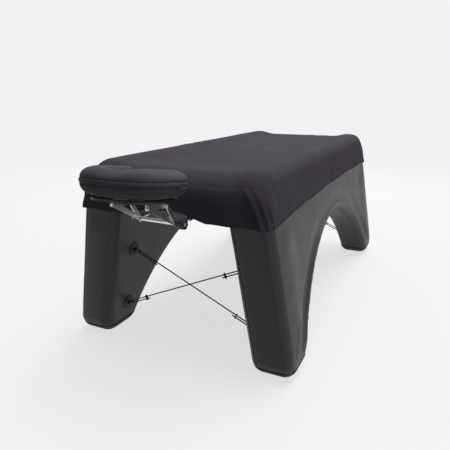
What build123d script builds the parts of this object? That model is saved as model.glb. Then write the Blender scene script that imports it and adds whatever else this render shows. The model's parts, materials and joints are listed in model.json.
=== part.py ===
from build123d import *
import os
from math import cos, hypot, radians, sin, tan

# An inflatable massage table with a fitted sheet and a plug-in face cradle.
# Millimetres. X runs across the table, Y from the head end to the foot end, Z up.
# The origin is on the floor, under the middle of the whole object.

# Table
LENGTH = 1780.0  # air chambers, head end to foot end
RIDGE_HEIGHT = 740.0  # top of the two side chambers
FLOOR_WIDTH = 981.0  # over both side chambers, at the floor
CHAMBER_WIDTH = 162.0  # one side chamber, measured level
SPLAY = 9.8  # degrees that the side chambers lean inwards
RIDGE_ROUND = 56.0
SHOULDER_ROUND = 50.0  # where a chamber's top slopes down to the deck
EDGE_ROUND = 45.0
FRONT_LEAN = 19.0  # how far a leg's end face stands back at the floor
LEG_ROUND = 70.0  # a leg's bottom corners, seen from the side
ARCH_RADIUS = 760.0
ARCH_PEAK = 413.0
SKIN = 1.2  # coated fabric
SOLE = 2.5  # thickness of the sole pads
SOLE_RISE = 34.0  # how far the sole pads wrap up the legs

# Deck
DECK_BOTTOM = 588.0
DECK_EDGE_TOP = 704.0
DECK_DISH = 4.0
DECK_ROUND = 30.0

# Fitted sheet
SHEET = 1.5
SHEET_GAP = 1.0
HEM_CORNER = 561.0
HEM_MIDDLE = 582.0
HEM_CRADLE = 590.0  # the hem over the cradle's posts
HEM_NOTCH = 200.0  # half the width of that rise in the hem
DISH_HEIGHT = 712.0
DISH_SLOPE = 20.0  # degrees, from the ridges down to the deck
DISH_ROUND = 200.0
RIDGE_INNER = 283.0

# Inflation valve, on the right chamber's inner face
VALVE_FROM_END = 230.0
VALVE_HEIGHT = 210.0
VALVE_BARREL = 20.0
VALVE_DEPTH = 26.0
VALVE_BORE = 13.0
FLANGE = 2.0
FLANGE_RADIUS = 33.0
SEAT = 9.0  # the seat's lip, under the flange's face
STEM = 2.5
CAP = 7.0
CAP_RADIUS = 24.0

# Brace cords between the legs
CORD = 5.0
CORD_BEND = 5.0
CORD_STEP = 4.0  # each cord of a cross passes this far from their shared plane
CORD_TAIL = 95.0
RING_FROM_END = 150.0
UPPER_RING = 360.0
LOWER_RING = 110.0
RING_RADIUS = 12.0
RING_WIRE = 2.0
PATCH_RADIUS = 31.0
PATCH = 2.5
LOOP_RADIUS = 6.0
LOOP_BORE = 3.1
LOOP_WIDTH = 10.0
ADJUSTER = (24.0, 12.0, 4.0)
ADJUSTER_AT = 80.0

# Face cradle
CRADLE_REACH = 323.91  # front of the cushion, out from the head end
AXIS_OUT = 53.0  # clamp rod, out from the head end
AXIS_HEIGHT = 566.0
ARM_LENGTH = 167.0
ARM_RISE = 29.5  # degrees above level
BAR = 3.0
ARM_WIDTH = 18.0
STAY_WIDTH = 18.0
SLOT_NEAR = 71.5  # the stay's slot, from its pivot to the slot's end centres
SLOT_FAR = 87.7
SLOT_RADIUS = 5.2
STAY_END = 96.5
PLAY = 0.3  # between parts that turn against each other
WASHER = 1.0
WASHER_RADIUS = 8.5
ROD = 4.0  # radii from here to the running fit
CROSSBAR = 8.0
CROSSBAR_BORE = 5.0
POST = 6.0
POST_WALL = 1.5
RUNNING = 0.05
PIVOT = 3.0
BOLT_HEAD = 3.0
BOLT_RADIUS = 5.5
BOLT_NUT = 4.0
SPACER_RADIUS = 5.0
CROSSBAR_HALF = 66.0
BRACKET_WIDTH = 16.0
SLEEVE = 9.5
SLEEVE_LENGTH = 260.0
SLEEVE_FROM_END = 20.0
POST_DEPTH = 230.0  # how far the posts reach in past the head end
KNOB = 19.0
KNOB_WIDTH = 18.0
NUT = 6.0

# Cradle platform and face cushion
PLATFORM_TILT = 7.0  # degrees, forehead end up
PIVOT_SPAN = 99.0  # front pivot to rear pivot
PLATE_UP = 20.0  # plate's underside above the pivots
PLATE = 8.0
PLATE_FRONT = 96.0  # the plate's front, out from the front pivots
PLATE_BACK = 118.0
PLATE_HALF = 113.0
PLATE_SLOT = 60.0
PLATE_SLOT_RISE = 25.0  # how far the slot's closed end bows forward
PLATE_FRONT_ROUND = 72.0
PLATE_BACK_ROUND = 30.0
PLATE_MOUTH_ROUND = 8.0
ANGLE_WIDTH = 26.0
ANGLE_HEIGHT = 16.0
ANGLE_PAST = 11.0
SCREW = 2.0
SCREW_HEAD = 3.6
SCREW_SPOTS = (18.0, 81.0)
PAD = 1.5
PAD_INSET = 10.0
CUSHION = 98.0
CUSHION_WIDTH = 332.0
CUSHION_DEPTH = 272.0
CUSHION_BACK = 137.5  # back of the cushion, behind the front pivots
CUSHION_FRONT_ROUND = 125.0
CUSHION_BACK_ROUND = 67.0
CUSHION_ROUND = 42.0
FACE_WIDTH = 100.0
FACE_DEPTH = 174.0
FACE_MOUTH_ROUND = 47.0

# Places that follow from those
TOTAL = CRADLE_REACH + LENGTH + SHEET_GAP + SHEET
HEAD_Y = CRADLE_REACH - TOTAL / 2
FOOT_Y = HEAD_Y + LENGTH
MIDDLE_Y = (HEAD_Y + FOOT_Y) / 2
LEAN = tan(radians(SPLAY))
SLOPE = tan(radians(DISH_SLOPE))
DISH_HALF_WIDTH = RIDGE_INNER - (RIDGE_HEIGHT - DISH_HEIGHT) / SLOPE
SHOULDER_IN = FLOOR_WIDTH / 2 - CHAMBER_WIDTH - RIDGE_INNER
SHOULDER_HEIGHT = (SHOULDER_IN + RIDGE_HEIGHT / SLOPE) / (1 / SLOPE + LEAN)
AXIS_Y = HEAD_Y - AXIS_OUT
FRONT_Y = AXIS_Y - ARM_LENGTH * cos(radians(ARM_RISE))
FRONT_Z = AXIS_HEIGHT + ARM_LENGTH * sin(radians(ARM_RISE))
FACE_END = CUSHION_BACK - FACE_DEPTH
SIDES = (("left", -1), ("right", 1))
ENDS = (("head", HEAD_Y, 1), ("foot", FOOT_Y, -1))


def save(part, name):
    part.label = name
    export_step(part, f"parts/{name}.step")


def outer_face(z):
    """Half the table's width at a height."""
    return FLOOR_WIDTH / 2 - z * LEAN


def inner_face(z):
    """Half the space between the side chambers at a height."""
    return outer_face(z) - CHAMBER_WIDTH


def sharp_edges(form):
    """The edges along a chamber's outline, without those across it and the smooth ones on its ridge."""
    found = []
    for edge in form.edges():
        run = edge % 0.5
        straight = edge.geom_type == GeomType.LINE
        across = straight and abs(run.X) > 0.99
        on_ridge = straight and abs(run.Y) > 0.99 and edge.center().Z > DECK_BOTTOM
        if not across and not on_ridge:
            found.append(edge)
    return found


def chamber_form(side, inset=0.0):
    """A side chamber as a solid: a leaning slab with a round ridge, cut to two legs and an arch."""
    beyond = 20.0
    centre_z = ARCH_PEAK - ARCH_RADIUS
    half_span = (ARCH_RADIUS**2 - (SOLE - centre_z) ** 2) ** 0.5
    with BuildPart() as form:
        with BuildSketch(Plane.XZ.offset(-FOOT_Y - beyond)) as section:
            with BuildLine():
                Polyline(
                    (side * outer_face(SOLE), SOLE),
                    (side * outer_face(RIDGE_HEIGHT), RIDGE_HEIGHT),
                    (side * RIDGE_INNER, RIDGE_HEIGHT),
                    (side * inner_face(SHOULDER_HEIGHT), SHOULDER_HEIGHT),
                    (side * inner_face(SOLE), SOLE),
                    close=True,
                )
            make_face()
            fillet(section.vertices().group_by(Axis.Y)[-1], RIDGE_ROUND)
            shoulder_at = (side * inner_face(SHOULDER_HEIGHT), SHOULDER_HEIGHT)
            fillet(section.vertices().sort_by_distance(shoulder_at)[0], SHOULDER_ROUND)
            if inset:
                offset(amount=-inset, kind=Kind.INTERSECTION)
        extrude(amount=LENGTH + 2 * beyond)
        with BuildSketch(Plane.YZ) as outline:
            with BuildLine():
                Polyline(
                    (MIDDLE_Y - half_span, SOLE),
                    (HEAD_Y + FRONT_LEAN, SOLE),
                    (HEAD_Y, RIDGE_HEIGHT + beyond),
                    (FOOT_Y, RIDGE_HEIGHT + beyond),
                    (FOOT_Y - FRONT_LEAN, SOLE),
                    (MIDDLE_Y + half_span, SOLE),
                )
                ThreePointArc(
                    (MIDDLE_Y + half_span, SOLE), (MIDDLE_Y, ARCH_PEAK), (MIDDLE_Y - half_span, SOLE)
                )
            make_face()
            fillet(outline.vertices().group_by(Axis.Y)[0], LEG_ROUND)
            if inset:
                offset(amount=-inset, kind=Kind.INTERSECTION)
        extrude(amount=FLOOR_WIDTH, both=True, mode=Mode.INTERSECT)
        fillet(sharp_edges(form), EDGE_ROUND - inset)
    return form.part


def deck_form(inset=0.0):
    """The deck as a solid between the side chambers, with a slightly dished top."""
    with BuildPart() as form:
        with BuildSketch(Plane.XZ.offset(-FOOT_Y + DECK_DISH)):
            with BuildLine():
                Polyline(
                    (-inner_face(DECK_EDGE_TOP), DECK_EDGE_TOP),
                    (-inner_face(DECK_BOTTOM), DECK_BOTTOM),
                    (inner_face(DECK_BOTTOM), DECK_BOTTOM),
                    (inner_face(DECK_EDGE_TOP), DECK_EDGE_TOP),
                )
                ThreePointArc(
                    (inner_face(DECK_EDGE_TOP), DECK_EDGE_TOP),
                    (0, DECK_EDGE_TOP - DECK_DISH),
                    (-inner_face(DECK_EDGE_TOP), DECK_EDGE_TOP),
                )
            make_face()
            if inset:
                offset(amount=-inset, kind=Kind.INTERSECTION)
        extrude(amount=LENGTH - 2 * DECK_DISH)
        if inset:
            ends = Plane.XZ.offset(-MIDDLE_Y)
            with BuildSketch(ends):
                Rectangle(4 * RIDGE_HEIGHT, 4 * RIDGE_HEIGHT)
            extrude(amount=LENGTH / 2 - DECK_DISH - inset, both=True, mode=Mode.INTERSECT)
        caps = form.faces().sort_by(Axis.Y)
        rims = caps[0].edges() + caps[-1].edges()
        level = [e for e in rims if abs((e % 0.5).X) > 0.99]
        fillet(level, DECK_ROUND - inset)
    return form.part


def cover_form(grow):
    """The space that the sheet wraps, grown outwards, as a solid that runs below the hem."""
    low = HEM_CORNER - 40.0
    with BuildPart() as form:
        with BuildSketch(Plane.XZ.offset(-FOOT_Y - grow)) as section:
            with BuildLine():
                Polyline(
                    (-outer_face(low), low),
                    (outer_face(low), low),
                    (outer_face(RIDGE_HEIGHT), RIDGE_HEIGHT),
                    (RIDGE_INNER, RIDGE_HEIGHT),
                    (DISH_HALF_WIDTH, DISH_HEIGHT),
                    (-DISH_HALF_WIDTH, DISH_HEIGHT),
                    (-RIDGE_INNER, RIDGE_HEIGHT),
                    (-outer_face(RIDGE_HEIGHT), RIDGE_HEIGHT),
                    close=True,
                )
            make_face()
            fillet(section.vertices().group_by(Axis.Y)[1], DISH_ROUND)
            fillet(section.vertices().group_by(Axis.Y)[-1], RIDGE_ROUND)
            offset(amount=grow, kind=Kind.INTERSECTION)
        extrude(amount=LENGTH + 2 * grow)
        caps = form.faces().sort_by(Axis.Y)
        rims = caps[0].edges() + caps[-1].edges()
        fillet([e for e in rims if e.center().Z > low], EDGE_ROUND - SHEET_GAP + grow)
    return form.part


def leg_point(side, end_y, inwards, z, off=0.0):
    """A point on a side chamber's inner face, stood off it by a distance."""
    x = inner_face(z) - off * cos(radians(SPLAY))
    return Vector(side * x, end_y + inwards * RING_FROM_END, z - off * sin(radians(SPLAY)))


def face_plane(side, point):
    """A plane on a side chamber's inner face, its normal towards the middle of the table."""
    lean = radians(SPLAY)
    return Plane(origin=point, x_dir=(0, 1, 0), z_dir=(-side * cos(lean), 0, -sin(lean)))


def bar_plane(x, start, end):
    """A plane across X whose x runs from one (y, z) point to another, centred between them."""
    run = (0, end[0] - start[0], end[1] - start[1])
    middle = (x, (start[0] + end[0]) / 2, (start[1] + end[1]) / 2)
    return Plane(origin=middle, x_dir=run, z_dir=(1, 0, 0))


def disc(x, y, z, radius, width, bore=0.0):
    """A round across X from x to x + width, with an optional bore."""
    with BuildPart() as round_part:
        with BuildSketch(Plane(origin=(x, y, z), x_dir=(0, 1, 0), z_dir=(1, 0, 0))):
            Circle(radius)
            if bore:
                Circle(bore, mode=Mode.SUBTRACT)
        extrude(amount=width)
    return round_part.part


def platform_plane(across=0.0, back=0.0, up=0.0):
    """A plane in the cradle platform: x across, y towards the table, z up, from the front pivots."""
    tilt = radians(PLATFORM_TILT)
    origin = (
        across,
        FRONT_Y + back * cos(tilt) + up * sin(tilt),
        FRONT_Z - back * sin(tilt) + up * cos(tilt),
    )
    return Plane(origin=origin, x_dir=(1, 0, 0), z_dir=(0, sin(tilt), cos(tilt)))


os.makedirs("parts", exist_ok=True)

# --- air chambers, sole pads and deck -----------------------------------

valve_point = (inner_face(VALVE_HEIGHT), FOOT_Y - VALVE_FROM_END, VALVE_HEIGHT)
valve_plane = face_plane(1, valve_point)

for name, side in SIDES:
    outer_form = chamber_form(side)
    air_form = chamber_form(side, SKIN)
    grown_form = chamber_form(side, -SOLE)
    with BuildPart() as side_chamber:
        add(outer_form)
        add(air_form, mode=Mode.SUBTRACT)
        if side > 0:
            with BuildSketch(valve_plane):
                Circle(VALVE_BARREL)
            extrude(amount=-2 * SKIN, both=True, mode=Mode.SUBTRACT)
    save(side_chamber.part, f"{name}_side_chamber")
    for end, end_y, inwards in ENDS:
        with BuildPart() as sole_pad:
            add(grown_form)
            with Locations((side * outer_face(0), end_y + inwards * FRONT_LEAN, 0)):
                Box(4 * CHAMBER_WIDTH, LENGTH / 2, 2 * SOLE_RISE, mode=Mode.INTERSECT)
            add(outer_form, mode=Mode.SUBTRACT)
        save(sole_pad.part, f"sole_pad_{end}_{name}")

deck_outside = deck_form()
deck_inside = deck_form(SKIN)
with BuildPart() as deck_chamber:
    add(deck_outside)
    add(deck_inside, mode=Mode.SUBTRACT)
save(deck_chamber.part, "deck_chamber")

# --- inflation valve ----------------------------------------------------

with BuildPart() as valve_body:
    with BuildSketch(valve_plane):
        Circle(FLANGE_RADIUS)
    extrude(amount=FLANGE)
    with BuildSketch(valve_plane):
        Circle(VALVE_BARREL)
    extrude(amount=-VALVE_DEPTH)
    with BuildSketch(valve_plane.offset(FLANGE)):
        Circle(VALVE_BARREL - 2)
    extrude(amount=-SEAT, mode=Mode.SUBTRACT)
    with BuildSketch(valve_plane.offset(-SEAT)):
        Circle(VALVE_BORE)
    extrude(amount=VALVE_DEPTH, both=True, mode=Mode.SUBTRACT)
    with BuildSketch(valve_plane.offset(FLANGE - SEAT - 3)):
        Rectangle(2 * VALVE_BORE + 2, 4)
        Circle(STEM + 2.5)
        Circle(STEM + RUNNING, mode=Mode.SUBTRACT)
    extrude(amount=3)
save(valve_body.part, "valve_body")

with BuildPart() as valve_poppet:
    with BuildSketch(valve_plane.offset(-VALVE_DEPTH - 3.5)):
        Circle(VALVE_BORE + 4)
    extrude(amount=3)
    with BuildSketch(valve_plane.offset(-VALVE_DEPTH - 3.5)):
        Circle(STEM)
    extrude(amount=VALVE_DEPTH + 3.5)
    with BuildSketch(valve_plane.offset(-1.5)):
        Circle(STEM + 3)
    extrude(amount=2)
save(valve_poppet.part, "valve_poppet")

with BuildPart() as valve_cap:
    with BuildSketch(valve_plane.offset(FLANGE + PLAY)):
        Circle(CAP_RADIUS)
    extrude(amount=CAP)
    fillet(valve_cap.edges().filter_by(GeomType.CIRCLE).sort_by(Axis.X)[0], 2)
    with BuildSketch(valve_plane.offset(FLANGE + PLAY + CAP - 3)):
        Rectangle(2 * CAP_RADIUS + 4, 5)
    extrude(amount=5)
save(valve_cap.part, "valve_cap")

# --- ring patches, rings, brace cords and line adjusters ----------------


def ring_spot(side, end_y, inwards, z, level):
    """Middle of a patch's loop, with each cord of a cross in its own upright plane."""
    spot = leg_point(side, end_y, inwards, z, PATCH - 0.5 + LOOP_RADIUS)
    return spot + Vector(0, level * CORD_STEP, 0)


def cord_ends(end_y, inwards, level):
    """The loop centres at a cord's left and right ends; level 1 starts high on the left leg."""
    high, low = (UPPER_RING, LOWER_RING) if level > 0 else (LOWER_RING, UPPER_RING)
    left = ring_spot(-1, end_y, inwards, high, level)
    right = ring_spot(1, end_y, inwards, low, level)
    return left, right


RING_REACH = RING_RADIUS - (LOOP_BORE - RING_WIRE) / 2

for end, end_y, inwards in ENDS:
    for name, side in SIDES:
        with BuildPart() as ring_patches:
            for z, level in ((UPPER_RING, -side), (LOWER_RING, side)):
                spot = leg_point(side, end_y, inwards, z) + Vector(0, level * CORD_STEP, 0)
                with BuildSketch(face_plane(side, spot)):
                    Circle(PATCH_RADIUS)
                extrude(amount=PATCH)
                loop = ring_spot(side, end_y, inwards, z, level)
                with BuildSketch(Plane.XZ.offset(-loop.Y)):
                    with Locations((loop.X, loop.Z)):
                        Circle(LOOP_RADIUS)
                extrude(amount=LOOP_WIDTH / 2, both=True)
                with BuildSketch(Plane.XZ.offset(-loop.Y)):
                    with Locations((loop.X, loop.Z)):
                        Circle(LOOP_BORE)
                extrude(amount=LOOP_WIDTH, both=True, mode=Mode.SUBTRACT)
        save(ring_patches.part, f"ring_patches_{end}_{name}")
        with BuildPart() as rings:
            for level in (-1, 1):
                left, right = cord_ends(end_y, inwards, level)
                start, run = (left, right - left) if side < 0 else (right, left - right)
                along = run.normalized()
                flat = Plane(
                    origin=start + along * RING_REACH, x_dir=along, z_dir=along.cross(Vector(0, 1, 0))
                )
                with Locations(flat):
                    Torus(RING_RADIUS, RING_WIRE)
        save(rings.part, f"rings_{end}_{name}")
    for level, cord_name in ((1, "falling"), (-1, "rising")):
        left, right = cord_ends(end_y, inwards, level)
        along = (right - left).normalized()
        up = Vector(-along.Z, 0, along.X)
        reach = RING_REACH + RING_RADIUS
        first, last = left + along * reach, right - along * reach
        with BuildPart() as brace_cord:
            with BuildLine() as route:
                Line(first + along * CORD_TAIL - up * CORD_BEND, first - up * CORD_BEND)
                ThreePointArc(
                    first - up * CORD_BEND, first - along * CORD_BEND, first + up * CORD_BEND
                )
                Line(first + up * CORD_BEND, last + up * CORD_BEND)
                ThreePointArc(
                    last + up * CORD_BEND, last + along * CORD_BEND, last - up * CORD_BEND
                )
                Line(last - up * CORD_BEND, last - along * CORD_TAIL - up * CORD_BEND)
            with BuildSketch(Plane(origin=route.line @ 0, z_dir=route.line % 0)):
                Circle(CORD / 2)
            sweep(path=route.line)
        save(brace_cord.part, f"brace_cord_{end}_{cord_name}")
        with BuildPart() as line_adjusters:
            for place, way in ((first, 1), (last, -1)):
                middle = place + along * (way * ADJUSTER_AT)
                flat = Plane(origin=middle, x_dir=up, z_dir=along)
                with BuildSketch(flat):
                    SlotOverall(ADJUSTER[0], ADJUSTER[1])
                    with Locations((CORD_BEND, 0), (-CORD_BEND, 0)):
                        Circle(CORD / 2 + RUNNING, mode=Mode.SUBTRACT)
                extrude(amount=ADJUSTER[2] / 2, both=True)
        save(line_adjusters.part, f"line_adjusters_{end}_{cord_name}")

# --- fitted sheet -------------------------------------------------------

cover_outside = cover_form(SHEET_GAP + SHEET)
cover_inside = cover_form(SHEET_GAP)
with BuildPart() as fitted_sheet:
    add(cover_outside)
    add(cover_inside, mode=Mode.SUBTRACT)
    with BuildSketch(Plane.YZ):
        with BuildLine():
            Polyline(
                (HEAD_Y - CHAMBER_WIDTH, HEM_CORNER),
                (HEAD_Y - CHAMBER_WIDTH, 0),
                (FOOT_Y + CHAMBER_WIDTH, 0),
                (FOOT_Y + CHAMBER_WIDTH, HEM_CORNER),
                (FOOT_Y, HEM_CORNER),
            )
            ThreePointArc((FOOT_Y, HEM_CORNER), (MIDDLE_Y, HEM_MIDDLE), (HEAD_Y, HEM_CORNER))
            Line((HEAD_Y, HEM_CORNER), (HEAD_Y - CHAMBER_WIDTH, HEM_CORNER))
        make_face()
    extrude(amount=FLOOR_WIDTH, both=True, mode=Mode.SUBTRACT)
    with BuildSketch(Plane.XZ.offset(-HEAD_Y - CHAMBER_WIDTH)):
        with BuildLine():
            ThreePointArc((-HEM_NOTCH, HEM_CORNER), (0, HEM_CRADLE), (HEM_NOTCH, HEM_CORNER))
            Line((HEM_NOTCH, HEM_CORNER), (HEM_NOTCH, 0))
            Line((HEM_NOTCH, 0), (-HEM_NOTCH, 0))
            Line((-HEM_NOTCH, 0), (-HEM_NOTCH, HEM_CORNER))
        make_face()
    extrude(amount=2 * CHAMBER_WIDTH, mode=Mode.SUBTRACT)
save(fitted_sheet.part, "fitted_sheet")

# --- cradle sleeves and posts -------------------------------------------

POST_X = CROSSBAR_HALF + 3 * (WASHER + PLAY) + 2 * BAR + 3 * PLAY + BRACKET_WIDTH / 2
SLEEVE_BORE = POST + PLAY
SLEEVE_Y = HEAD_Y + SLEEVE_FROM_END

for name, side in SIDES:
    with BuildPart() as cradle_sleeve:
        with BuildSketch(Plane.XZ.offset(-SLEEVE_Y)):
            with Locations((side * POST_X, AXIS_HEIGHT)):
                Circle(SLEEVE)
            with Locations((side * POST_X, (AXIS_HEIGHT + DECK_BOTTOM) / 2)):
                Rectangle(SLEEVE, DECK_BOTTOM - AXIS_HEIGHT)
            with Locations((side * POST_X, DECK_BOTTOM - 1)):
                Rectangle(5 * SLEEVE, 2)
        extrude(amount=-SLEEVE_LENGTH)
        with BuildSketch(Plane.XZ.offset(-SLEEVE_Y)):
            with Locations((side * POST_X, AXIS_HEIGHT)):
                Circle(SLEEVE_BORE)
        extrude(amount=4 - SLEEVE_LENGTH, mode=Mode.SUBTRACT)
    save(cradle_sleeve.part, f"cradle_sleeve_{name}")

    with BuildPart() as cradle_post:
        with BuildSketch(Plane.XZ.offset(-AXIS_Y - 12)):
            with Locations((side * POST_X, AXIS_HEIGHT)):
                Circle(POST)
                Circle(POST - POST_WALL, mode=Mode.SUBTRACT)
        extrude(amount=AXIS_Y + 12 - HEAD_Y - POST_DEPTH)
    save(cradle_post.part, f"cradle_post_{name}")

    with BuildPart() as post_plug:
        with BuildSketch(Plane.XZ.offset(-HEAD_Y - POST_DEPTH)):
            with Locations((side * POST_X, AXIS_HEIGHT)):
                Circle(POST)
        extrude(amount=-3)
        with BuildSketch(Plane.XZ.offset(-HEAD_Y - POST_DEPTH)):
            with Locations((side * POST_X, AXIS_HEIGHT)):
                Circle(POST - POST_WALL)
        extrude(amount=14)
    save(post_plug.part, f"post_plug_{name}")

    with BuildPart() as base_bracket:
        with BuildSketch(Plane.YZ.offset(side * POST_X)):
            with Locations((AXIS_Y, AXIS_HEIGHT)):
                Circle(14)
            with Locations((AXIS_Y + 16, AXIS_HEIGHT)):
                Rectangle(32, 22)
        extrude(amount=BRACKET_WIDTH / 2, both=True)
        fillet(base_bracket.edges().filter_by(Axis.Z).group_by(Axis.Y)[-1], 2)
        with Locations(Plane.YZ.offset(side * POST_X)):
            with Locations((AXIS_Y, AXIS_HEIGHT)):
                Hole(ROD + RUNNING)
        with BuildSketch(Plane.XZ.offset(-AXIS_Y - 12)):
            with Locations((side * POST_X, AXIS_HEIGHT)):
                Circle(POST)
        extrude(amount=-60, mode=Mode.SUBTRACT)
    save(base_bracket.part, f"base_bracket_{name}")

# --- crossbar, friction washers and clamp -------------------------------

WASHER_X = [CROSSBAR_HALF + PLAY + i * (2 * PLAY + WASHER + BAR) for i in range(3)]
ARM_X = WASHER_X[0] + WASHER + PLAY
STAY_X = WASHER_X[1] + WASHER + PLAY
BRACKET_OUT = POST_X + BRACKET_WIDTH / 2


def mirrored_x(side, x, width):
    """The low X of a piece of a width that lies from x outwards on one side."""
    return x if side > 0 else -x - width


crossbar = disc(-CROSSBAR_HALF, AXIS_Y, AXIS_HEIGHT, CROSSBAR, 2 * CROSSBAR_HALF, CROSSBAR_BORE)
save(crossbar, "crossbar")

for name, side in SIDES:
    lows = [mirrored_x(side, x, WASHER) for x in WASHER_X + [BRACKET_OUT + PLAY]]
    discs = [disc(low, AXIS_Y, AXIS_HEIGHT, WASHER_RADIUS, WASHER, ROD + RUNNING) for low in lows]
    with BuildPart() as friction_washers:
        for washer in discs:
            add(washer)
    save(friction_washers.part, f"friction_washers_{name}")

CLAMP_X = BRACKET_OUT + 2 * PLAY + WASHER

rod_length = 2 * CLAMP_X + NUT + 3 + KNOB_WIDTH - 4
clamp_rod = disc(-CLAMP_X - NUT - 3, AXIS_Y, AXIS_HEIGHT, ROD, rod_length)
save(clamp_rod, "clamp_rod")

with BuildPart() as clamp_nut:
    with BuildSketch(Plane(origin=(-CLAMP_X - NUT, AXIS_Y, AXIS_HEIGHT), z_dir=(1, 0, 0))):
        RegularPolygon(7.5, 6)
        Circle(ROD, mode=Mode.SUBTRACT)
    extrude(amount=NUT)
save(clamp_nut.part, "clamp_nut")

with BuildPart() as clamp_knob:
    with BuildSketch(Plane(origin=(CLAMP_X, AXIS_Y, AXIS_HEIGHT), z_dir=(1, 0, 0))):
        Circle(KNOB)
        with PolarLocations(KNOB + 1.5, 8):
            Circle(4, mode=Mode.SUBTRACT)
    extrude(amount=KNOB_WIDTH)
    chamfer(clamp_knob.faces().sort_by(Axis.X)[-1].edges(), 1.5)
    with BuildSketch(Plane(origin=(CLAMP_X, AXIS_Y, AXIS_HEIGHT), z_dir=(1, 0, 0))):
        Circle(ROD)
    extrude(amount=KNOB_WIDTH - 4, mode=Mode.SUBTRACT)
    with BuildSketch(Plane(origin=(CLAMP_X + KNOB_WIDTH, AXIS_Y, AXIS_HEIGHT), z_dir=(1, 0, 0))):
        Circle(7.5)
    extrude(amount=-4, mode=Mode.SUBTRACT)
save(clamp_knob.part, "clamp_knob")

with BuildPart() as clamp_bolt_head:
    head_plane = Plane(origin=(CLAMP_X + KNOB_WIDTH - 4, AXIS_Y, AXIS_HEIGHT), z_dir=(1, 0, 0))
    with BuildSketch(head_plane):
        Circle(6.5)
    extrude(amount=5)
    chamfer(clamp_bolt_head.faces().sort_by(Axis.X)[-1].edges(), 1)
    with BuildSketch(head_plane.offset(5)):
        RegularPolygon(3, 6)
    extrude(amount=-3, mode=Mode.SUBTRACT)
save(clamp_bolt_head.part, "clamp_bolt_head")

# --- arms and stays -----------------------------------------------------

AXIS = (AXIS_Y, AXIS_HEIGHT)
FRONT = (FRONT_Y, FRONT_Z)
rear_origin = platform_plane(back=PIVOT_SPAN).origin
REAR = (rear_origin.Y, rear_origin.Z)
STAY_LENGTH = hypot(REAR[0] - AXIS[0], REAR[1] - AXIS[1])

for name, side in SIDES:
    with BuildPart() as cradle_arm:
        with BuildSketch(bar_plane(mirrored_x(side, ARM_X, BAR), AXIS, FRONT)):
            SlotCenterToCenter(ARM_LENGTH, ARM_WIDTH)
            with Locations((-ARM_LENGTH / 2, 0)):
                Circle(ROD + RUNNING, mode=Mode.SUBTRACT)
            with Locations((ARM_LENGTH / 2, 0)):
                Circle(PIVOT + RUNNING, mode=Mode.SUBTRACT)
        extrude(amount=BAR)
    save(cradle_arm.part, f"cradle_arm_{name}")

    with BuildPart() as cradle_stay:
        with BuildSketch(bar_plane(mirrored_x(side, STAY_X, BAR), REAR, AXIS)):
            with Locations(((STAY_END - STAY_LENGTH) / 2, 0)):
                SlotOverall(STAY_END + STAY_WIDTH / 2, STAY_WIDTH)
            with Locations((-STAY_LENGTH / 2, 0)):
                Circle(PIVOT + RUNNING, mode=Mode.SUBTRACT)
            with Locations(((SLOT_NEAR + SLOT_FAR - STAY_LENGTH) / 2, 0)):
                SlotCenterToCenter(SLOT_FAR - SLOT_NEAR, 2 * SLOT_RADIUS, mode=Mode.SUBTRACT)
        extrude(amount=BAR)
    save(cradle_stay.part, f"cradle_stay_{name}")

# --- platform: angle brackets, pivots, plate, screws and hook pad -------

FLANGE_X = ARM_X - PLAY - BAR
SCREW_X = FLANGE_X + ANGLE_WIDTH / 2 + 5


def from_pivots(side, x):
    """A plane across X at the front pivots, its x towards the table and y up, in the platform."""
    tilt = radians(PLATFORM_TILT)
    return Plane(
        origin=(side * x, FRONT_Y, FRONT_Z), x_dir=(0, cos(tilt), -sin(tilt)), z_dir=(1, 0, 0)
    )


def plate_outline(inset):
    """The platform's outline: a rounded plate with a slot for the face, open to the table."""
    half, front, back = PLATE_HALF - inset, PLATE_FRONT - inset, PLATE_BACK - inset
    slot, end = PLATE_SLOT + inset, FACE_END - 8 - inset
    with BuildSketch() as outline:
        with BuildLine():
            Polyline((slot, end), (slot, back), (half, back), (half, -front))
            Polyline((half, -front), (-half, -front), (-half, back), (-slot, back), (-slot, end))
            ThreePointArc((-slot, end), (0, end - PLATE_SLOT_RISE), (slot, end))
        make_face()
        fillet(outline.vertices().group_by(Axis.Y)[0], PLATE_FRONT_ROUND - inset)
        back_row = outline.vertices().group_by(Axis.Y)[-1].sort_by(Axis.X)
        fillet([back_row[0], back_row[-1]], PLATE_BACK_ROUND - inset)
        back_row = outline.vertices().group_by(Axis.Y)[-1].sort_by(lambda v: abs(v.X))
        fillet(back_row[0:2], PLATE_MOUTH_ROUND)
    return outline.sketch


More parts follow.
